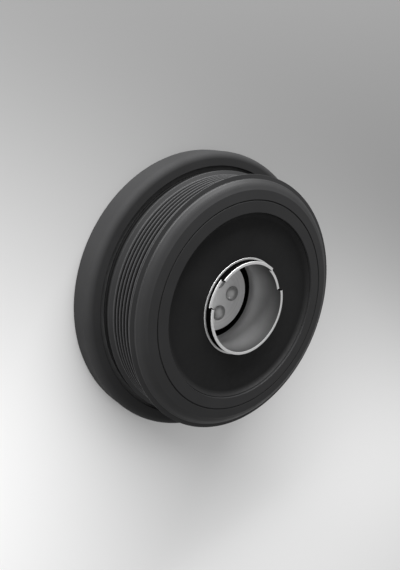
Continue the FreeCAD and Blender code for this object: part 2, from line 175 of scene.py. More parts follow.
class BalancerSizes(bpy.types.PropertyGroup):
    """Sizes of the dressed pieces that the solids' boxes don't give."""

    edge_round: length("Edge rounding", "Radius of a plain broken edge", 0.25)
    ring_front_round: length("Ring front rounding", "Radius of the inertia ring's front outer edge", 5.7)
    ring_back_round: length("Ring back rounding", "Radius of the inertia ring's back outer edge", 1.2)
    ring_edge_break: length("Ring edge break", "Radius of the inertia ring's inner edges", 0.5)
    drilling_radius: length(
        "Balance drilling radius", "Radius of the balance drillings in the ring's back", 3.0)
    drilling_depth: length("Balance drilling depth", "Depth of the balance drillings", 7.0)
    band_hollow: length("Band hollow", "How far the rubber band's ends curve in", 0.7)
    groove_pitch: length("Groove pitch", "Distance from one belt groove to the next", 3.56)
    groove_depth: length("Groove depth", "Depth of the belt grooves", 2.8)
    crest_width: length("Crest width", "Flat width of a rib's crest", 0.8)
    crest_round: length("Crest rounding", "Radius along the edges and feet of the ribs", 0.25)
    flange_height: length("Flange height", "How far the flanges stand above the crests", 2.4)
    rear_flange_width: length("Rear flange width", "Flat width of the rear flange", 1.6)
    rear_slope: length("Rear slope", "Run of the slope from the rear flange down to the track", 1.4)
    front_slope: length("Front slope", "Run of the slope from the track up to the front flange", 0.65)
    flange_tip: length("Front flange tip", "Flat width of the front flange's tip", 0.7)
    flange_face: length("Front flange face", "Width of the front flange's face, in from its tip", 2.85)
    flange_lean: length(
        "Front flange lean", "How much nearer the front that face is at the shoulder's foot", 0.5)
    shoulder_wall: length("Shoulder wall", "Height of the steep wall at the shoulder's foot", 0.7)
    shoulder_lean: length("Shoulder lean", "How far the steep wall leans in over its height", 0.2)
    shoulder_bulge: length("Shoulder bulge", "How far the shoulder stands out over a straight cone", 0.5)
    front_land: length("Front land", "Width of the pulley's front ring", 6.6)
    land_lean: length("Front land lean", "How much further back that ring is at its outer edge", 0.5)
    front_wall: length("Front wall", "Thickness of the pulley's front wall", 9.0)
    flange_round: length("Flange rounding", "Radius of the rear flange's edges and the shoulder's top", 0.4)
    tip_round: length("Tip rounding", "Radius of the front flange's tip", 0.2)
    wall_round: length("Wall rounding", "Radius from the shoulder's wall to its slope", 2.5)
    crown_round: length("Crown rounding", "Radius in the middle of the shoulder", 9.0)
    running_gap: length("Running gap", "Gap between the pulley and its plain bearing", 0.05)
    inner_flange: length("Inner flange", "Height of the pulley's inner flange, out from its bearing", 3.35)
    inner_round: length("Inner rounding", "Radius of the corners inside the pulley", 1.5)
    joint_chamfer: length(
        "Joint chamfer", "Chamfer on each side of the joint between pulley and isolator", 0.5)
    lip_width: length("Front lip width", "Width of the isolator ring's front lip", 7.9)
    lip_thickness: length("Front lip thickness", "Thickness of the isolator ring's front lip", 3.2)
    dish_depth: length("Dish depth", "Depth of the rubber's floor below the front face", 3.9)
    dish_round: length("Dish rounding", "Radius between the rubber's floor and its rim", 6.5)
    rubber_edge: length(
        "Rubber edge", "How far the rubber stays behind the edges that it is bonded to", 0.4)
    rubber_inner_web: length(
        "Inner web", "Thickness of the rubber round the inner ring, at the hollow behind", 10.4)
    rubber_outer_web: length(
        "Outer web", "Thickness of the rubber inside the outer ring, at the hollow behind", 10.2)
    rubber_rise: length("Hollow behind", "How much nearer the front the hollow behind the rubber is", 4.5)
    lip_round: length("Rubber lip rounding", "Radius of the rubber's edge at the front lip", 0.5)
    dish_foot: length("Dish foot", "Width of the slope from the dish's rim to its floor", 2.0)
    inner_ring_wall: length("Thin ring wall", "Wall of the thin bright ring round the tube", 1.4)
    sleeve_wall: length("Tube wall", "Wall of the notched tube", 2.0)
    notch_depth: length("Notch depth", "Depth of the notches in the tube's rim", 3.0)
    notch_width: FloatProperty(
        name="Notch width", description="Angle that a notch spans",
        default=math.radians(35.5), min=0.0, subtype="ANGLE")
    bend_round: length("Tube bend", "Radius outside the tube where its foot turns out", 2.5)
    rim_band: length("Rim band", "Height of the bright band outside, below the tube's rim", 0.5, least=0.4)
    rim_round: length("Rim rounding", "Radius of the tube's rim", 0.3)
    notch_top_round: length("Notch edge", "Radius where a notch starts in the rim", 0.35)
    notch_floor_round: length("Notch corner", "Radius in the corners of a notch", 0.8)
    plate_round: length("Plate rounding", "Radius of the clamp plate's front edge", 1.2)
    screw_head: length("Screw head radius", "Radius of a domed screw head", 5.5)
    screw_rim: length("Screw head rim", "Height of the straight rim under a dome", 0.6)
    screw_shank: length("Screw shank radius", "Radius of a screw's shank", 3.5)
    screw_thread: length("Screw thread radius", "Radius of a screw's threaded end", 3.0)
    thread_length: length("Screw thread length", "Length of a screw's threaded end", 5.5)
    thread_chamfer: length("Screw end chamfer", "Chamfer on a screw's end", 0.6)


class BalancerFinish(bpy.types.PropertyGroup):
    """Colours and gloss of the finishes."""

    coat_colour: colour("Black coat", "Colour of the coated steel", 0.0185, 0.0185, 0.019)
    iron_colour: colour("Ring coat", "Colour of the coated inertia ring", 0.0235, 0.0235, 0.024)
    rubber_colour: colour("Rubber", "Colour of the moulded rubber", 0.0085, 0.0085, 0.0087)
    # Painted light: the band under the ring is paler than the other rubber
    band_painted_light_colour: colour("Rubber band", "Colour of the rubber band under the ring", 0.065, 0.065, 0.066)
    # Painted shade: the hub's coat is darker than the pulley's
    hub_painted_shade_colour: colour("Hub coat", "Colour of the coated hub", 0.011, 0.011, 0.0112)
    rim_colour: colour("Rim steel", "Colour of the tube's rim and the thin ring", 0.68, 0.68, 0.68)
    plate_colour: colour("Plate steel", "Colour of the clamp plate", 0.94, 0.94, 0.94)
    bore_colour: colour("Bore steel", "Colour of the tube's bore, next to the plate", 0.94, 0.94, 0.945)
    # Painted shade in the tube's bore: how dark its mouth is, and how fast the colour falls off towards it
    bore_mouth_painted_shade: share(
        "Bore shade", "Colour at the bore's mouth, as a share of the one next to the plate", 0.05)
    bore_painted_shade_fall: FloatProperty(
        name="Bore fall", description="Power of the depth by which the bore's colour falls off",
        default=1.6, min=1.0, max=3.0)
    # Near-black colour of the painted shade outside the tube and at the notches' sides, and of the painted
    # shadow in the bore
    painted_shade_colour: colour("Rubber film", "Colour of the dull film outside the tube", 0.0015, 0.0015, 0.0015)
    screw_colour: colour("Screw steel", "Colour of the plated screws", 0.62, 0.62, 0.625)
    plastic_colour: colour("Bearing plastic", "Colour of the plain bearings", 0.12, 0.12, 0.11)
    coat_roughness: share("Coat roughness", "Roughness of the black coat", 0.46)
    coat_gloss: share("Coat gloss", "How much the black coat mirrors", 0.2)
    iron_gloss: share("Ring coat gloss", "How much the inertia ring's coat mirrors", 0.1)
    iron_roughness: share("Ring coat roughness", "Roughness of the inertia ring's coat", 0.75)
    rubber_gloss: share("Rubber gloss", "How much the rubber mirrors", 0.17)
    steel_roughness: share("Steel roughness", "Roughness of the turned steel", 0.42)
    bore_metal: share("Bore metal", "Share of metal in the look of the tube's bore", 0.6)
    screw_roughness: share("Screw roughness", "Roughness of the screws' plating", 0.34)
    steel_metal: share("Steel metal", "Share of metal in the turned steel's look", 0.7)
    # Painted shade at the bottom of the belt grooves
    groove_painted_shade: share(
        "Groove shade", "Colour at the bottom of the grooves, as a share of the coat's", 0.12)


class BalancerStage(bpy.types.PropertyGroup):
    """Floor, lamps and surrounding light."""

    floor_near: colour(
        "Floor below the part", "Colour of the floor in the picture's lower half", 0.92, 0.92, 0.92)
    # Painted shade on the floor towards the picture's top
    floor_far_painted_shade: colour("Floor above the part", "Colour of the floor at the picture's top", 0.25, 0.25, 0.25)
    surround: FloatProperty(
        name="Surrounding light", description="Strength of the even light from all round",
        default=0.46, min=0.0)
    key_power: power("Key lamp", "Power of the large lamp beyond the part", 66.0)
    key_width: length("Key lamp width", "Width of the large lamp, along the floor", 2000.0, least=10.0)
    key_height: length("Key lamp height", "Height of the large lamp", 400.0, least=10.0)
    fill_power: power("Fill lamp", "Power of the weak lamp at the part's left", 13.5)
    fill_width: length("Fill lamp width", "Width of the weak lamp, along the floor", 2400.0, least=10.0)
    fill_height: length("Fill lamp height", "Height of the weak lamp", 560.0, least=10.0)


# Outlines and meshes

def outline(corners, edge_round):
    """A closed outline in the (radius, height) plane, as an array of points.

    Each corner is (r, z) or (r, z, rounding). Its arc has its centre on the corner's bisector at
    rounding / sin(half the corner's angle), and its points are centre + rounding * direction, where
    the direction swings evenly from the first tangent point to the last. Long flat sides also get
    a support point near each end.
    """
    places = np.array([corner[:2] for corner in corners], dtype=float)
    rounds = np.array([corner[2] if len(corner) > 2 else edge_round for corner in corners])
    back = np.roll(places, 1, axis=0) - places
    ahead = np.roll(places, -1, axis=0) - places
    back_length = np.linalg.norm(back, axis=1)
    ahead_length = np.linalg.norm(ahead, axis=1)
    back /= back_length[:, None]
    ahead /= ahead_length[:, None]
    half = np.arccos(np.clip((back * ahead).sum(axis=1), -1.0, 1.0)) / 2
    cut = np.minimum(rounds / np.tan(half), SIDE_SHARE * np.minimum(back_length, ahead_length))
    runs = []
    for i in range(len(corners)):
        turn = math.pi - 2 * half[i]
        if turn < LEAST_TURN or cut[i] < SAME_PLACE:
            arc = places[i:i + 1]
        else:
            radius = cut[i] * math.tan(half[i])
            middle = back[i] + ahead[i]
            centre = places[i] + middle / np.linalg.norm(middle) * radius / math.sin(half[i])
            first = places[i] + back[i] * cut[i] - centre
            last = places[i] + ahead[i] * cut[i] - centre
            part = np.linspace(0.0, 1.0, max(2, math.ceil(turn / CORNER_STEP) + 1))[:, None]
            arc = centre + (np.sin((1 - part) * turn) * first + np.sin(part * turn) * last) / math.sin(turn)
        runs.append(arc)
    points = []
    for i, arc in enumerate(runs):
        following = runs[(i + 1) % len(runs)][0]
        side = following - arc[-1]
        side_length = np.linalg.norm(side)
        points.append(arc)
        if side_length > SUPPORTED_SIDE * SUPPORT:
            step = side / side_length * SUPPORT
            points.append(np.array([arc[-1] + step, following - step]))
    return np.vstack(points)


def outward(profile):
    """The same outline, turned so that faces carried round the axis point outwards."""
    r, z = profile[:, 0], profile[:, 1]
    area = (r * np.roll(z, -1) - np.roll(r, -1) * z).sum()
    return profile if area > 0 else profile[::-1]


def add_mesh_object(name, places, faces):
    """A new object at the origin from an (n, 3) array of places and a list of face arrays."""
    mesh = bpy.data.meshes.new(name)
    mesh.vertices.add(len(places))
    mesh.vertices.foreach_set("co", np.ascontiguousarray(places, dtype=np.float32).ravel())
    loops = np.concatenate([face.ravel() for face in faces]).astype(np.int32)
    sizes = np.concatenate([np.full(len(face), face.shape[1]) for face in faces])
    starts = np.concatenate([[0], np.cumsum(sizes)[:-1]]).astype(np.int32)
    mesh.loops.add(len(loops))
    mesh.loops.foreach_set("vertex_index", loops)
    mesh.polygons.add(len(sizes))
    mesh.polygons.foreach_set("loop_start", starts)
    mesh.update(calc_edges=True)
    mesh.validate()
    piece = bpy.data.objects.new(name, mesh)
    bpy.context.scene.collection.objects.link(piece)
    shade(piece)
    return piece


def shade(piece):
    """Smooth shading, with edges sharp where two faces turn by more than SHARP_TURN."""
    piece.data.shade_smooth()
    piece.data.set_sharp_from_angle(angle=SHARP_TURN)


def grid_faces(columns, rows, wrap_rows):
    """Quads of a grid that closes on itself round the axis, and along its rows too where asked."""
    column = np.arange(columns)[:, None]
    row = np.arange(rows if wrap_rows else rows - 1)[None, :]
    next_column = (column + 1) % columns
    next_row = (row + 1) % rows
    return np.stack([
        column * rows + row, next_column * rows + row,
        next_column * rows + next_row, column * rows + next_row], axis=2).reshape(-1, 4)


def turned_places(profile, columns, centre=(0.0, 0.0)):
    """Places (x + r cos t, y + r sin t, z) of an outline, with t from 0 to a full turn about (x, y)."""
    r, z = profile.T
    x, y = centre
    t = np.arange(columns) * (2 * math.pi / columns)
    grid = [x + np.outer(np.cos(t), r), y + np.outer(np.sin(t), r), np.tile(z, (columns, 1))]
    return np.stack(grid, axis=2).reshape(-1, 3)


def turned(name, profile, columns=COLUMNS):
    """A closed outline carried round the axis."""
    places = turned_places(outward(profile), columns)
    return add_mesh_object(name, places, [grid_faces(columns, len(profile), True)])


def turned_about(name, profile, centre=(0.0, 0.0), columns=COLUMNS):
    """An open outline from the axis back to the axis, carried round a centre, with a pole at each end.

    The outline's first and last points lie on the axis and become the two poles, each joined to its
    neighbours by triangles.
    """
    grid = turned_places(profile[1:-1], columns, centre)
    poles = np.array([[*centre, profile[0, 1]], [*centre, profile[-1, 1]]])
    rows = len(profile) - 2
    first, last = columns * rows, columns * rows + 1
    column = np.arange(columns)
    next_column = (column + 1) % columns
    low_fan = np.stack([np.full(columns, first), next_column * rows, column * rows], axis=1)
    high_fan = np.stack(
        [np.full(columns, last), column * rows + rows - 1, next_column * rows + rows - 1], axis=1)
    faces = [grid_faces(columns, rows, False), low_fan, high_fan]
    return add_mesh_object(name, np.vstack([grid, poles]), faces)


def merged(piece):
    """Join vertices that lie on each other, and drop faces without area."""
    work = bmesh.new()
    work.from_mesh(piece.data)
    bmesh.ops.remove_doubles(work, verts=work.verts, dist=SAME_PLACE)
    bmesh.ops.dissolve_degenerate(work, dist=LEAST_EDGE, edges=work.edges)
    bmesh.ops.recalc_face_normals(work, faces=work.faces)
    work.to_mesh(piece.data)
    work.free()
    shade(piece)
    return piece


def dress(piece, node, material):
    """The piece stands for a solid, rides with the part, and gets its finish."""
    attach(piece, "root")
    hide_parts(node)
    piece.data.materials.clear()
    piece.data.materials.append(material)


def face_places(piece):
    """Distance from the axis, height, and outward and upward shares of the normal, of each face."""
    count = len(piece.data.polygons)
    centres, normals = np.empty(count * 3), np.empty(count * 3)
    piece.data.polygons.foreach_get("center", centres)
    piece.data.polygons.foreach_get("normal", normals)
    centres, normals = centres.reshape(-1, 3), normals.reshape(-1, 3)
    distance = np.linalg.norm(centres[:, :2], axis=1)
    outward_share = (centres[:, :2] * normals[:, :2]).sum(axis=1) / np.maximum(distance, TINY)
    return distance, centres[:, 2], outward_share, normals[:, 2]


def add_materials(piece, *chosen):
    """Further finishes, each a material and the faces that take it."""
    index = np.zeros(len(piece.data.polygons), dtype=np.int32)
    for i, (material, faces) in enumerate(chosen):
        piece.data.materials.append(material)
        index[faces] = i + 1
    piece.data.polygons.foreach_set("material_index", index)


def paint(node, material):
    """A solid whose shape is right keeps it and gets a finish."""
    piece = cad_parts[node]
    if not piece.material_slots:
        piece.data.materials.append(material)
    for place in piece.material_slots:
        place.material = material


# Finishes

def started(name):
    """A material, and when it is new also its node tree, its shader and its Object coordinates."""
    material = bpy.data.materials.get(name)
    if material:
        return material, None, None, None
    material = bpy.data.materials.new(name)
    material.use_nodes = True
    tree = material.node_tree
    shader = tree.nodes["Principled BSDF"]
    coordinates = tree.nodes.new("ShaderNodeTexCoord")
    return material, tree, shader, coordinates.outputs["Object"]


def noise(tree, place, scale, detail=3.0):
    """Noise on a place, with its scale in waves per metre."""
    node = tree.nodes.new("ShaderNodeTexNoise")
    node.inputs["Scale"].default_value = scale
    node.inputs["Detail"].default_value = detail
    tree.links.new(place, node.inputs["Vector"])
    return node.outputs["Fac"]


def spread(tree, value, low, high, start=0.3, end=0.7):
    """A value between start and end carried to low..high; noise mostly stays between 0.3 and 0.7."""
    node = tree.nodes.new("ShaderNodeMapRange")
    for socket, number in (("From Min", start), ("From Max", end), ("To Min", low), ("To Max", high)):
        node.inputs[socket].default_value = number
    tree.links.new(value, node.inputs["Value"])
    return node.outputs["Result"]


def worked(tree, operation, value, number):
    """What an operation makes of a value and a number."""
    node = tree.nodes.new("ShaderNodeMath")
    node.operation = operation
    node.inputs[1].default_value = number
    tree.links.new(value, node.inputs[0])
    return node.outputs[0]


def scaled(tint, factor):
    """A colour times a number."""
    return [factor * part for part in tint]


def blend(tree, factor, first, second):
    """A colour that goes from the first to the second with the factor; each may be a socket."""
    node = tree.nodes.new("ShaderNodeMix")
    node.data_type = "RGBA"
    for socket, tint in ((node.inputs["A"], first), (node.inputs["B"], second)):
        if isinstance(tint, bpy.types.NodeSocket):
            tree.links.new(tint, socket)
        else:
            socket.default_value = (*tint, 1.0)
    tree.links.new(factor, node.inputs["Factor"])
    return node.outputs["Result"]


def tinted(tree, value, tint, low, high):
    """A colour made darker and lighter by a value, from tint * low to tint * high."""
    return blend(tree, spread(tree, value, 0.0, 1.0), scaled(tint, low), scaled(tint, high))


def bumped(tree, shader, height, depth):
    """A fine relief of the given depth in metres."""
    node = tree.nodes.new("ShaderNodeBump")
    node.inputs["Distance"].default_value = depth
    tree.links.new(height, node.inputs["Height"])
    tree.links.new(node.outputs["Normal"], shader.inputs["Normal"])


def axis_distance(tree, place):
    """Distance from the axis, and height, of a place."""
    parts = tree.nodes.new("ShaderNodeSeparateXYZ")
    tree.links.new(place, parts.inputs[0])
    flat = tree.nodes.new("ShaderNodeCombineXYZ")
    tree.links.new(parts.outputs["X"], flat.inputs["X"])
    tree.links.new(parts.outputs["Y"], flat.inputs["Y"])
    distance = tree.nodes.new("ShaderNodeVectorMath")
    distance.operation = "LENGTH"
    tree.links.new(flat.outputs[0], distance.inputs[0])
    return distance.outputs["Value"], parts.outputs["Z"]


def turning_place(tree, place, across):
    """Coordinates of a turned surface: (distance from the axis * across, height * across, 0).

    Noise on them runs in fine rings, like the marks of a lathe.
    """
    joined = tree.nodes.new("ShaderNodeCombineXYZ")
    for value, socket in zip(axis_distance(tree, place), joined.inputs):
        tree.links.new(worked(tree, "MULTIPLY", value, across), socket)
    return joined.outputs[0]


def uneven_roughness(tree, shader, cloud, middle, swing):
    """A roughness that wanders round its middle with a cloud of noise."""
    tree.links.new(spread(tree, cloud, middle - swing, middle + swing), shader.inputs["Roughness"])


def coated(name, tint, roughness, gloss, grain=1500.0, depth=0.006 * MM):
    """Black coat on steel or iron: nearly even colour, soft gloss, a fine orange-peel relief."""
    material, tree, shader, place = started(name)
    if tree:
        cloud = noise(tree, place, COAT_CLOUD, detail=4.0)
        tree.links.new(tinted(tree, cloud, tint, low=0.93, high=1.07), shader.inputs["Base Color"])
        uneven_roughness(tree, shader, noise(tree, place, scale=130.0), roughness, ROUGHNESS_SWING)
        shader.inputs["Specular IOR Level"].default_value = gloss
        bumped(tree, shader, noise(tree, place, grain, detail=2.0), depth)
    return material


def pulley_coat(finish):
    """Black coat of the pulley and the isolator's front ring."""
    return coated("black_coat", finish.coat_colour, finish.coat_roughness, finish.coat_gloss)


def ring_coat(finish):
    """Black coat of the inertia ring, duller and a little coarser."""
    return coated("black_coat_on_iron", finish.iron_colour, finish.iron_roughness, finish.iron_gloss,
                  grain=1100.0, depth=0.009 * MM)


def hub_coat_painted_shade(finish):
    """Thin dull black coat of the hub, darker than the pulley's: painted shade on its rim in the gap under
    the ring.
    """
    return coated("black_coat_on_hub_painted_shade", finish.hub_painted_shade_colour, finish.iron_roughness, finish.iron_gloss)


def painted_shade_film(finish):
    """Near-black dull coat: painted shade on the tube's outside below the rim and on the notches' sides."""
    return coated("painted_shade_film", finish.painted_shade_colour, roughness=0.8, gloss=0.0)


def groove_coat_with_painted_light(finish, valley_r, crest_r):
    """The pulley's coat in the belt track: paler on the crests as a painted highlight, darker towards the
    valleys as painted shade, and duller there.
    """
    material, tree, shader, place = started("black_coat_with_painted_groove_light")
    if tree:
        distance, _ = axis_distance(tree, place)
        painted_shade_r = valley_r + GROOVE_PAINTED_SHADE_SHARE * (crest_r - valley_r)
        depth = spread(tree, distance, 0.0, 1.0, painted_shade_r, crest_r)
        cloud = noise(tree, place, COAT_CLOUD, detail=4.0)
        # Painted highlight on the crests, at 1.75 to 1.95 times the coat's colour, and painted shade in the
        # valleys
        crest = tinted(tree, cloud, finish.coat_colour, low=1.75, high=1.95)
        valley_painted_shade = scaled(finish.coat_colour, finish.groove_painted_shade)
        tree.links.new(blend(tree, depth, valley_painted_shade, crest), shader.inputs["Base Color"])
        for socket, low, high in (
                ("Roughness", VALLEY_ROUGHNESS, finish.coat_roughness),
                ("Specular IOR Level", 0.0, finish.coat_gloss)):
            tree.links.new(spread(tree, distance, low, high, valley_r, crest_r), shader.inputs[socket])
    return material


def moulded(name, tint, gloss):
    """Moulded rubber: dull, with a faint bloom and a fine matt grain."""
    material, tree, shader, place = started(name)
    if tree:
        cloud = noise(tree, place, scale=60.0, detail=5.0)
        tree.links.new(tinted(tree, cloud, tint, low=0.88, high=1.14), shader.inputs["Base Color"])
        uneven_roughness(tree, shader, noise(tree, place, scale=240.0), middle=0.68, swing=0.06)
        shader.inputs["Specular IOR Level"].default_value = gloss
        bumped(tree, shader, noise(tree, place, scale=2600.0, detail=2.0), depth=0.02 * MM)
    return material


def rubber(finish):
    """Rubber of the isolator and the seal, and painted shade on the joints' chamfers."""
    return moulded("moulded_rubber", finish.rubber_colour, finish.rubber_gloss)


def band_rubber_painted_light(finish):
    """Rubber of the band under the ring, paler than the other rubber: painted light where the band lies in
    shade.
    """
    return moulded("band_rubber_painted_light", finish.band_painted_light_colour, finish.rubber_gloss)


def steel(name, tint, metal, roughness, painted_shade=None):
    """Turned steel: fine rings from the tool, and a slightly uneven soft gloss.

    Where painted shade is given, it is a function that makes the final colour of (tree, place, even
    colour).
    """
    material, tree, shader, place = started(name)
    if tree:
        marks = noise(tree, turning_place(tree, place, across=900.0), scale=1.0, detail=2.0)
        even = tinted(tree, marks, tint, low=0.95, high=1.04)
        tree.links.new(painted_shade(tree, place, even) if painted_shade else even, shader.inputs["Base Color"])
        uneven_roughness(tree, shader, noise(tree, place, scale=60.0), roughness, ROUGHNESS_SWING)
        shader.inputs["Metallic"].default_value = metal
        bumped(tree, shader, marks, depth=0.0015 * MM)
    return material


def rim_steel(finish):
    """Bright steel of the tube's rim and of the thin ring round it."""
    return steel("bright_rim_steel", finish.rim_colour, finish.steel_metal, finish.steel_roughness)


def plate_steel(finish):
    """Steel of the clamp plate."""
    return steel("plate_steel", finish.plate_colour, finish.steel_metal, finish.steel_roughness)


def screw_steel(finish):
    """Plated steel of the screws."""
    return steel("screw_steel", finish.screw_colour, metal=1.0, roughness=finish.screw_roughness)


def bore_steel_with_painted_shade(finish, plate_z, top_z):
    """Steel of the tube's bore, with painted shade: darker towards its mouth, and a painted black shadow
    behind the plate's front.
    """

    def painted_shade(tree, place, even):
        """Painted shade: the share of the even colour is a power of the depth, 1 at the plate's front and 0
        at the mouth.
        """
        _, height = axis_distance(tree, place)
        depth = spread(tree, height, 1.0, 0.0, plate_z, top_z)
        painted_shade_share = worked(tree, "POWER", depth, finish.bore_painted_shade_fall)
        with_painted_shade = blend(tree, painted_shade_share, scaled(finish.bore_colour, finish.bore_mouth_painted_shade), even)
        # Painted black shadow on the bore behind the plate's front
        painted_shadow_z = plate_z - 2 * BORE_PAINTED_SHADOW_DROP
        clear_of_painted_shadow = spread(tree, height, 0.0, 1.0, painted_shadow_z, painted_shadow_z + BORE_PAINTED_SHADOW_DROP)
        return blend(tree, clear_of_painted_shadow, finish.painted_shade_colour, with_painted_shade)

    return steel("bore_steel_with_painted_shade", finish.bore_colour, finish.bore_metal, finish.steel_roughness, painted_shade)


def plastic(finish):
    """Moulded bearing plastic: matt, with a faint cloud."""
    material, tree, shader, place = started("bearing_plastic_matt")
    if tree:
        cloud = noise(tree, place, scale=220.0)
        tint = tinted(tree, cloud, finish.plastic_colour, low=0.9, high=1.1)
        tree.links.new(tint, shader.inputs["Base Color"])
        uneven_roughness(tree, shader, cloud, middle=0.5, swing=0.05)
        bumped(tree, shader, noise(tree, place, scale=1500.0), depth=0.01 * MM)
    return material


# Pieces

class BalancerRing(bpy.types.Operator):
    """Build the heavy ring, rounded at its front outer edge, with its balance drillings"""

    bl_idname = "balancer.ring"
    bl_label = "Inertia ring"

    def execute(self, context):
        sizes = context.scene.balancer_sizes
        outer_r, low, high = reach("inertia_ring")
        inner_r = reach("damper_rubber")[0]
        ring = turned("inertia_ring_coated", outline([
            (inner_r, low, sizes.ring_edge_break),
            (outer_r, low, sizes.ring_back_round),
            (outer_r, high, sizes.ring_front_round),
            (inner_r, high, sizes.ring_edge_break),
        ], sizes.edge_round))
        for angle in DRILLING_ANGLES:
            drill(ring, (inner_r + outer_r) / 2, angle, sizes.drilling_radius, low, sizes.drilling_depth)
        dress(ring, "inertia_ring", ring_coat(context.scene.balancer_finish))
        return {"FINISHED"}


def drill(piece, circle_r, angle, radius, low, depth):
    """Cut a round blind hole upwards into a piece's back, at an angle on a circle about the axis.

    The cutter is a turned outline, r from 0 to the radius and z from below the back to the depth.
    """
    under = low - depth
    corners = np.array([[0.0, under], [radius, under], [radius, low + depth], [0.0, low + depth]])
    centre = (circle_r * math.cos(angle), circle_r * math.sin(angle))
    cutter = turned_about("drill", corners, centre, DRILLING_COLUMNS)
    cut = piece.modifiers.new("drilling", "BOOLEAN")
    cut.object = cutter
    cut.solver = "EXACT"
    bpy.context.view_layer.update()
    result = bpy.data.meshes.new_from_object(piece.evaluated_get(bpy.context.evaluated_depsgraph_get()))
    piece.modifiers.clear()
    piece.data = result
    bpy.data.objects.remove(cutter)
    shade(piece)


class BalancerBand(bpy.types.Operator):
    """Build the rubber band that carries the ring, with hollow ends"""

    bl_idname = "balancer.band"
    bl_label = "Rubber band"

    def execute(self, context):
        sizes = context.scene.balancer_sizes
        outer_r, low, high = reach("damper_rubber")
        inner_r = reach("hub")[0]
        # Each end is an arc: height = end - hollow * (1 - (2 s - 1) squared), with s from 0 to 1 across
        s = np.linspace(0.0, 1.0, BAND_POINTS)
        dip = sizes.band_hollow * (1 - (2 * s - 1) ** 2)
        r = inner_r + (outer_r - inner_r) * s
        profile = np.vstack([np.stack([r, low + dip], axis=1), np.stack([r, high - dip], axis=1)[::-1]])
        band = turned("rubber_band", profile)
        dress(band, "damper_rubber", band_rubber_painted_light(context.scene.balancer_finish))
        return {"FINISHED"}


def belt_track(sizes, crest_r, rear_z):
    """Corners of the track from rear to front: each groove is a straight-sided V with a flat floor."""
    side_run = sizes.groove_depth * math.tan(GROOVE_HALF_ANGLE)
    floor_half = (sizes.groove_pitch - sizes.crest_width) / 2 - side_run
    valley_r = crest_r - sizes.groove_depth
    crest_round = sizes.crest_round
    corners = [(crest_r, rear_z, crest_round)]
    for i in range(GROOVE_COUNT):
        middle = rear_z + sizes.crest_width / 2 + (i + 0.5) * sizes.groove_pitch
        corners += [
            (crest_r, middle - floor_half - side_run, crest_round),
            (valley_r, middle - floor_half, crest_round),
            (valley_r, middle + floor_half, crest_round),
            (crest_r, middle + floor_half + side_run, crest_round),
        ]
    corners.append((crest_r, rear_z + sizes.crest_width + GROOVE_COUNT * sizes.groove_pitch, crest_round))
    return corners


def front_shoulder(sizes, flange_r, flange_z, top_r, front_z):
    """Corners from the front flange's face over the rounded shoulder to the front land.

    A steep wall stands on the flange's face. From there to the top the shoulder is a straight line
    whose middle is raised by the bulge, square to the line, and rounded.
    """
    foot_r = flange_r - sizes.flange_face
    foot_z = flange_z + sizes.flange_lean
    wall_r, wall_z = foot_r - sizes.shoulder_lean, foot_z + sizes.shoulder_wall
    top_z = front_z - sizes.land_lean
    run, rise = top_r - wall_r, top_z - wall_z
    slope = math.hypot(run, rise)
    crown = ((wall_r + top_r) / 2 + sizes.shoulder_bulge * rise / slope,
             (wall_z + top_z) / 2 - sizes.shoulder_bulge * run / slope)
    return [
        (foot_r, foot_z),
        (wall_r, wall_z, sizes.wall_round),
        (*crown, sizes.crown_round),
        (top_r, top_z, sizes.flange_round),
    ]


class BalancerPulley(bpy.types.Operator):
    """Build the belt pulley: six grooves, two flanges and the rounded front shoulder"""

    bl_idname = "balancer.pulley"
    bl_label = "Belt pulley"

    def execute(self, context):
        sizes, finish = context.scene.balancer_sizes, context.scene.balancer_finish
        flange_r, rear_z, front_z = reach("pulley")
        bush_r, _, inner_flange_z = reach("bearing_bush")
        journal_r = bush_r + sizes.running_gap
        rim_bore_r = journal_r + sizes.inner_flange
        joint_r = reach("isolator_outer_ring")[0]
        crest_r = flange_r - sizes.flange_height
        track = belt_track(sizes, crest_r, rear_z + sizes.rear_flange_width + sizes.rear_slope)
        track_front_z = track[-1][1]
        tip_z = track_front_z + sizes.front_slope
        edge_z = tip_z + sizes.flange_tip
        wall_z = front_z - sizes.front_wall
        corners = [
            (journal_r, rear_z),
            (flange_r, rear_z, sizes.flange_round),
            (flange_r, rear_z + sizes.rear_flange_width, sizes.flange_round),
            *track,
            (flange_r, tip_z, sizes.tip_round),
            (flange_r, edge_z, sizes.tip_round),
            *front_shoulder(sizes, flange_r, edge_z, joint_r + sizes.front_land, front_z),
            (joint_r + sizes.joint_chamfer, front_z),
            (joint_r, front_z - sizes.joint_chamfer),
            (joint_r, wall_z),
            (rim_bore_r, wall_z, sizes.inner_round),
            (rim_bore_r, inner_flange_z, sizes.inner_round),
            (journal_r, inner_flange_z),
        ]
        pulley = turned("belt_pulley", outline(corners, sizes.edge_round), PULLEY_COLUMNS)
        dress(pulley, "pulley", pulley_coat(finish))
        valley_r = crest_r - sizes.groove_depth
        distance, height, _, _ = face_places(pulley)
        # The chamfers at the joint with the isolator take the rubber as painted shade
        joint_painted_shade = (distance < joint_r + sizes.joint_chamfer) & (height > front_z - sizes.joint_chamfer)
        # The track's faces take a painted highlight on the crests and painted shade in the valleys
        in_track_painted_light = (height > track[0][1]) & (height < edge_z - sizes.tip_round)
        in_track_painted_light &= distance > valley_r - sizes.edge_round
        track_coat_with_painted_light = groove_coat_with_painted_light(finish, valley_r, crest_r)
        add_materials(pulley, (track_coat_with_painted_light, in_track_painted_light), (rubber(finish), joint_painted_shade))
        return {"FINISHED"}


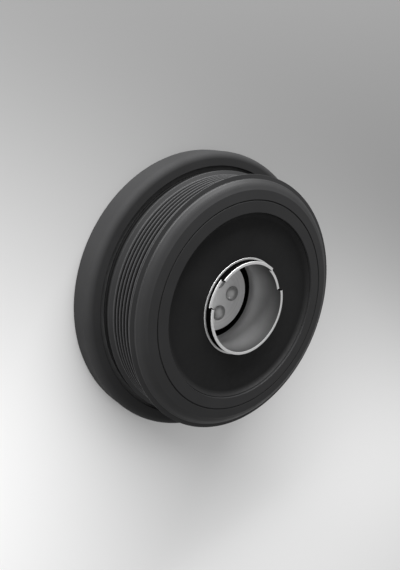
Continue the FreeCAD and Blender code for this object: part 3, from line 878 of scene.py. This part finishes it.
class BalancerIsolator(bpy.types.Operator):
    """Build the isolator: front ring, dished rubber and the thin bright ring round the tube"""

    bl_idname = "balancer.isolator"
    bl_label = "Isolator"

    def execute(self, context):
        sizes, finish = context.scene.balancer_sizes, context.scene.balancer_finish
        outer_r, ring_low, front_z = reach("isolator_outer_ring")
        bond_r, rubber_low, rubber_top = reach("isolator_rubber")
        inner_outer_r, inner_low, inner_top = reach("isolator_inner_ring")
        tube_r = inner_outer_r - sizes.inner_ring_wall
        lip_r = outer_r - sizes.lip_width
        lip_z = front_z - sizes.lip_thickness
        ring = turned("isolator_front_ring", outline([
            (bond_r, ring_low), (outer_r, ring_low), (outer_r, front_z - sizes.joint_chamfer),
            (outer_r - sizes.joint_chamfer, front_z), (lip_r, front_z), (lip_r, lip_z), (bond_r, lip_z),
        ], sizes.edge_round))
        dress(ring, "isolator_outer_ring", pulley_coat(finish))
        distance, height, _, _ = face_places(ring)
        # The chamfers at the joint with the pulley take the rubber as painted shade
        joint_painted_shade = (distance > outer_r - sizes.joint_chamfer) & (height > front_z - sizes.joint_chamfer)
        add_materials(ring, (rubber(finish), joint_painted_shade))
        floor_z = front_z - sizes.dish_depth
        hollow_z = rubber_low + sizes.rubber_rise
        body = turned("isolator_rubber_body", outline([
            (inner_outer_r, rubber_low),
            (inner_outer_r + sizes.rubber_inner_web, hollow_z, sizes.dish_round),
            (bond_r - sizes.rubber_outer_web, hollow_z, sizes.dish_round),
            (bond_r, ring_low + sizes.rubber_edge), (bond_r, lip_z), (lip_r, lip_z),
            (lip_r, rubber_top, sizes.lip_round),
            (lip_r - sizes.dish_foot, floor_z, sizes.dish_round), (inner_outer_r, floor_z),
        ], sizes.edge_round))
        dress(body, "isolator_rubber", rubber(finish))
        thin = turned("isolator_bright_ring", outline([
            (tube_r, inner_low), (inner_outer_r, inner_low),
            (inner_outer_r, inner_top), (tube_r, inner_top),
        ], sizes.edge_round))
        dress(thin, "isolator_inner_ring", rim_steel(finish))
        return {"FINISHED"}


def rim_path(sizes, rim_r, top_z):
    """Angles and heights along the tube's rim, once round.

    Round each notch the rim runs level, down the notch's side, along its floor and up again, with
    small roundings where it turns. Distances along the rim are angle times radius.
    """
    floor_z = top_z - sizes.notch_depth
    path = []
    for middle in NOTCH_MIDDLES:
        start = (middle - sizes.notch_width / 2) * rim_r
        end = (middle + sizes.notch_width / 2) * rim_r
        path += [(start, top_z, sizes.notch_top_round), (start, floor_z, sizes.notch_floor_round),
                 (end, floor_z, sizes.notch_floor_round), (end, top_z, sizes.notch_top_round)]
    # The way back above the rim closes the outline and is cut off again
    above = top_z + 4 * sizes.notch_depth
    full = 2 * math.pi * rim_r
    points = outline([(0.0, above), (0.0, top_z), *path, (full, top_z), (full, above)], 0.0)
    points = points[points[:, 1] <= top_z + TINY]
    return points[:, 0] / rim_r, points[:, 1]


def with_even_columns(angles, heights):
    """The rim's angles and heights with columns between them, evenly spread, and the last one dropped.

    An even column less than half a step from one of the path's own points is left out.
    """
    step = 2 * math.pi / COLUMNS
    even = np.arange(COLUMNS) * step
    even = even[np.abs(even[:, None] - angles[None, :]).min(axis=1) > step / 2]
    places = np.searchsorted(angles, even)
    even_heights = np.interp(even, angles, heights)
    return np.insert(angles, places, even)[:-1], np.insert(heights, places, even_heights)[:-1]


class BalancerTube(bpy.types.Operator):
    """Build the drawn tube with its turned-out foot and the notches in its rim"""

    bl_idname = "balancer.tube"
    bl_label = "Notched tube"

    def execute(self, context):
        sizes, finish = context.scene.balancer_sizes, context.scene.balancer_finish
        foot_r, low, top = reach("hub_sleeve")
        outer_r = reach("isolator_inner_ring")[0] - sizes.inner_ring_wall
        bore_r = outer_r - sizes.sleeve_wall
        profile = outward(outline([
            (bore_r, low, sizes.bend_round + sizes.sleeve_wall),
            (foot_r, low), (foot_r, low + sizes.sleeve_wall),
            (outer_r, low + sizes.sleeve_wall, sizes.bend_round), (outer_r, top - sizes.rim_band),
            (outer_r, top, sizes.rim_round), (bore_r, top, sizes.rim_round),
        ], sizes.edge_round))
        angles, heights = with_even_columns(*rim_path(sizes, outer_r, top))
        # The place is (r cos t, r sin t, z), where z of the outline's uppermost points also follows the rim
        follows = profile[:, 1] > top - sizes.rim_band - 2 * SUPPORT
        r, z = profile.T
        height = z[None, :] + np.outer(heights - top, follows)
        grid = np.stack([np.outer(np.cos(angles), r), np.outer(np.sin(angles), r), height], axis=2)
        tube = merged(add_mesh_object(
            "notched_tube", grid.reshape(-1, 3), [grid_faces(len(angles), len(r), True)]))
        dress(tube, "hub_sleeve", rim_steel(finish))
        # Painted shade: black outside below the rim and at the notches' sides, and in the bore darker
        # towards its mouth; bright at the rim
        distance, height, facing_out, facing_up = face_places(tube)
        middle_r = (bore_r + outer_r) / 2
        below_rim = height < top - sizes.notch_depth - sizes.rim_band
        outside = (distance > middle_r) & (facing_out > WALL_FACING) & below_rim
        inside = (distance < middle_r) & (facing_out < -WALL_FACING)
        notch_side_painted_shade = (np.abs(facing_out) < SIDE_FACING_OUT) & (np.abs(facing_up) < SIDE_FACING_UP)
        bore = bore_steel_with_painted_shade(finish, reach("clamp_plate")[2], top)
        add_materials(tube, (painted_shade_film(finish), outside | notch_side_painted_shade), (bore, inside))
        return {"FINISHED"}


class BalancerPlate(bpy.types.Operator):
    """Build the bright round plate deep inside the tube"""

    bl_idname = "balancer.plate"
    bl_label = "Clamp plate"

    def execute(self, context):
        sizes = context.scene.balancer_sizes
        outer_r, low, high = reach("clamp_plate")
        closed = outline([
            (0.0, low, 0.0), (outer_r, low), (outer_r, high, sizes.plate_round), (0.0, high, 0.0),
        ], sizes.edge_round)
        # What lies on the axis or next to it makes way for the two poles
        rim = closed[closed[:, 0] > 2 * SUPPORT]
        disc = turned_about("clamp_plate_disc", np.vstack([[0.0, low], rim, [0.0, high]]))
        dress(disc, "clamp_plate", plate_steel(context.scene.balancer_finish))
        return {"FINISHED"}


class BalancerScrews(bpy.types.Operator):
    """Build the four screws with smooth domed heads"""

    bl_idname = "balancer.screws"
    bl_label = "Domed screws"

    def execute(self, context):
        sizes = context.scene.balancer_sizes
        plate_z = reach("clamp_plate")[2]
        for i in range(SCREW_COUNT):
            node = f"crank_bolt_{i + 1}"
            low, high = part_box(node)
            centre = ((low.x + high.x) / 2, (low.y + high.y) / 2)
            rise = high.z - plate_z - sizes.screw_rim
            dome_r = (sizes.screw_head ** 2 + rise ** 2) / (2 * rise)
            # The dome is an arc of a circle: r = dome_r sin a, z = top - dome_r (1 - cos a)
            a = np.linspace(math.asin(sizes.screw_head / dome_r), 0.0, DOME_ROWS)
            dome = np.stack([dome_r * np.sin(a), high.z - dome_r * (1 - np.cos(a))], axis=1)
            thread_z = low.z + sizes.thread_length
            shank = np.array([
                [0.0, low.z], [sizes.screw_thread - sizes.thread_chamfer, low.z],
                [sizes.screw_thread, low.z + sizes.thread_chamfer], [sizes.screw_thread, thread_z],
                [sizes.screw_shank, thread_z], [sizes.screw_shank, plate_z],
                [sizes.screw_head - sizes.edge_round, plate_z],
                [sizes.screw_head, plate_z + sizes.edge_round]])
            screw = turned_about(f"domed_screw_{i + 1}", np.vstack([shank, dome]), centre, SCREW_COLUMNS)
            dress(screw, node, screw_steel(context.scene.balancer_finish))
        return {"FINISHED"}


class BalancerInside(bpy.types.Operator):
    """Give the hub, the bearings, the seal and the support ring their finishes"""

    bl_idname = "balancer.inside"
    bl_label = "Hub and bearings"

    def execute(self, context):
        finish = context.scene.balancer_finish
        paint("hub", hub_coat_painted_shade(finish))
        paint("support_ring", pulley_coat(finish))
        paint("dust_seal", rubber(finish))
        for node in ("bearing_bush", "rear_thrust_washer", "front_thrust_washer"):
            paint(node, plastic(finish))
        return {"FINISHED"}


class BalancerStudio(bpy.types.Operator):
    """Set up the camera, the pale floor and the soft light"""

    bl_idname = "balancer.studio"
    bl_label = "Studio"

    def execute(self, context):
        add_camera()
        add_floor(context.scene.balancer_stage)
        add_light(context.scene.balancer_stage)
        context.scene.view_settings.view_transform = "Standard"
        return {"FINISHED"}


def add_camera():
    """The photograph's camera, fitted to the part's circles."""
    data = bpy.data.cameras.new("camera")
    data.sensor_width = CAMERA_SENSOR
    data.lens = CAMERA_LENS
    data.shift_y = AXIS_DROP / max(IMAGE_SIZE)
    data.clip_start, data.clip_end = CAMERA_RANGE
    camera = bpy.data.objects.new("camera", data)
    turn = Matrix((CAMERA_RIGHT, CAMERA_UP, CAMERA_BACK)).transposed().to_4x4()
    camera.matrix_world = Matrix.Translation(CAMERA_PLACE) @ turn
    bpy.context.scene.collection.objects.link(camera)
    bpy.context.scene.camera = camera


def add_floor(stage):
    """A large pale floor just under the part, with painted shade that makes it greyer towards the picture's
    top and right.
    """
    corners = np.array([[-1, -1], [1, -1], [1, 1], [-1, 1]]) * FLOOR_HALF
    places = np.column_stack([corners, np.full(len(corners), -FLOOR_DROP)])
    floor = add_mesh_object("floor", places, [np.array([[0, 1, 2, 3]])])
    material, tree, shader, place = started("pale_floor")
    along = tree.nodes.new("ShaderNodeVectorMath")
    along.operation = "DOT_PRODUCT"
    along.inputs[1].default_value = FLOOR_PAINTED_SHADE_DIRECTION
    tree.links.new(place, along.inputs[0])
    painted_shade = spread(tree, along.outputs["Value"], 0.0, 1.0, FLOOR_PAINTED_SHADE_START, FLOOR_PAINTED_SHADE_END)
    painted_shade.node.interpolation_type = "SMOOTHERSTEP"
    tree.links.new(blend(tree, painted_shade, stage.floor_near, stage.floor_far_painted_shade), shader.inputs["Base Color"])
    shader.inputs["Roughness"].default_value = FLOOR_ROUGHNESS
    shader.inputs["Specular IOR Level"].default_value = 0.0
    floor.data.materials.append(material)


def add_lamp(name, direction, distance, width, height, power):
    """A soft lamp with its width along the floor, looking at the part from a direction."""
    data = bpy.data.lights.new(name, "AREA")
    data.shape = "RECTANGLE"
    data.size = width
    data.size_y = height
    data.energy = power
    lamp = bpy.data.objects.new(name, data)
    lamp.location = Vector(direction).normalized() * distance
    lamp.rotation_euler = Vector(direction).to_track_quat("Z", "Y").to_euler()
    bpy.context.scene.collection.objects.link(lamp)


def add_light(stage):
    """A wide soft lamp beyond the part's upper side, a weak one at its left, and even light all round."""
    add_lamp("key_lamp", KEY_DIRECTION, KEY_DISTANCE, stage.key_width, stage.key_height, stage.key_power)
    add_lamp("fill_lamp", FILL_DIRECTION, FILL_DISTANCE,
             stage.fill_width, stage.fill_height, stage.fill_power)
    world = bpy.data.worlds.new("surround")
    world.use_nodes = True
    background = world.node_tree.nodes["Background"]
    background.inputs["Strength"].default_value = stage.surround
    background.inputs["Color"].default_value = (1.0, 1.0, 1.0, 1.0)
    bpy.context.scene.world = world


class BalancerPanel(bpy.types.Panel):
    """Lists the operators in the order in which they run, and the values that they use"""

    bl_idname = "VIEW3D_PT_balancer"
    bl_label = "Harmonic balancer"
    bl_space_type = "VIEW_3D"
    bl_region_type = "UI"
    bl_category = "Balancer"

    def draw(self, context):
        scene = context.scene
        for step in STEPS:
            self.layout.operator(step.bl_idname)
        for group in (scene.balancer_sizes, scene.balancer_finish, scene.balancer_stage):
            box = self.layout.box()
            for name in type(group).__annotations__:
                box.prop(group, name)


STEPS = (
    BalancerStudio, BalancerRing, BalancerBand, BalancerPulley, BalancerIsolator, BalancerTube,
    BalancerPlate, BalancerScrews, BalancerInside,
)
GROUPS = (BalancerSizes, BalancerFinish, BalancerStage)


def register():
    """Make the classes known and hang their values on the scene."""
    for kind in (*GROUPS, *STEPS, BalancerPanel):
        bpy.utils.register_class(kind)
    bpy.types.Scene.balancer_sizes = PointerProperty(type=BalancerSizes)
    bpy.types.Scene.balancer_finish = PointerProperty(type=BalancerFinish)
    bpy.types.Scene.balancer_stage = PointerProperty(type=BalancerStage)


def unregister():
    """Take back what register did."""
    del bpy.types.Scene.balancer_stage
    del bpy.types.Scene.balancer_finish
    del bpy.types.Scene.balancer_sizes
    for kind in reversed((*GROUPS, *STEPS, BalancerPanel)):
        bpy.utils.unregister_class(kind)


def main():
    """Build the whole picture."""
    register()
    bpy.ops.balancer.studio()
    bpy.ops.balancer.ring()
    bpy.ops.balancer.band()
    bpy.ops.balancer.pulley()
    bpy.ops.balancer.isolator()
    bpy.ops.balancer.tube()
    bpy.ops.balancer.plate()
    bpy.ops.balancer.screws()
    bpy.ops.balancer.inside()


if __name__ == "__main__":
    main()
